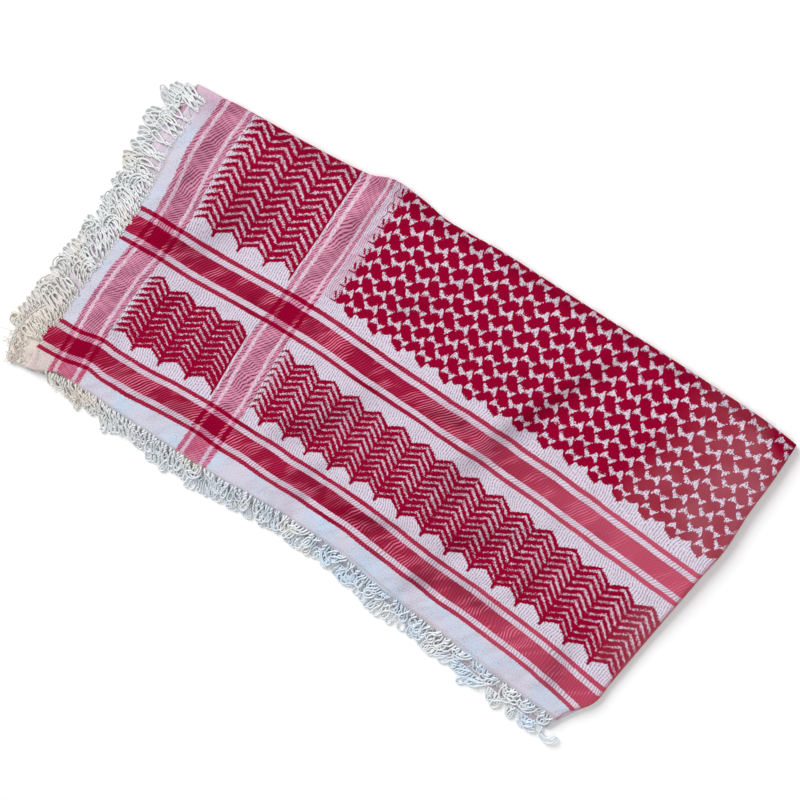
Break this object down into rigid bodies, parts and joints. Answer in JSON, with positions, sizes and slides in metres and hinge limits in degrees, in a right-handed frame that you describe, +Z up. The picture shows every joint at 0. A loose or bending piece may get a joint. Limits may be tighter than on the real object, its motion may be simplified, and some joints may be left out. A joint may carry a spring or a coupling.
{
  "type": "folded keffiyeh headscarf",
  "caption": "Square woven cotton headscarf with stripes, herringbone and net pattern and a looped fringe, folded into a flat oblong packet",
  "frame": {"origin": "middle of the bounding box, on the surface that the packet rests on", "axes": "+X runs along the packet from its fringed short end to its short fold, +Y from the fringed long side to the long fold, +Z up"},
  "size_m": [0.6572, 0.3892, 0.0132],
  "materials": {
    "patterned_cotton": "matt woven cotton, crimson pattern on white",
    "hidden_cotton": "matt woven cotton, off-white",
    "fringe_thread": "soft twisted cotton thread, white"
  },
  "bodies": {
    "root": {"outer_ply": "patterned_cotton", "inner_plies": "hidden_cotton", "fringe_end_upper": "fringe_thread", "fringe_end_lower": "fringe_thread", "fringe_side_upper_near": "fringe_thread", "fringe_side_upper_far": "fringe_thread", "fringe_side_lower_near": "fringe_thread", "fringe_side_lower_far": "fringe_thread"}
  },
  "joints": []
}
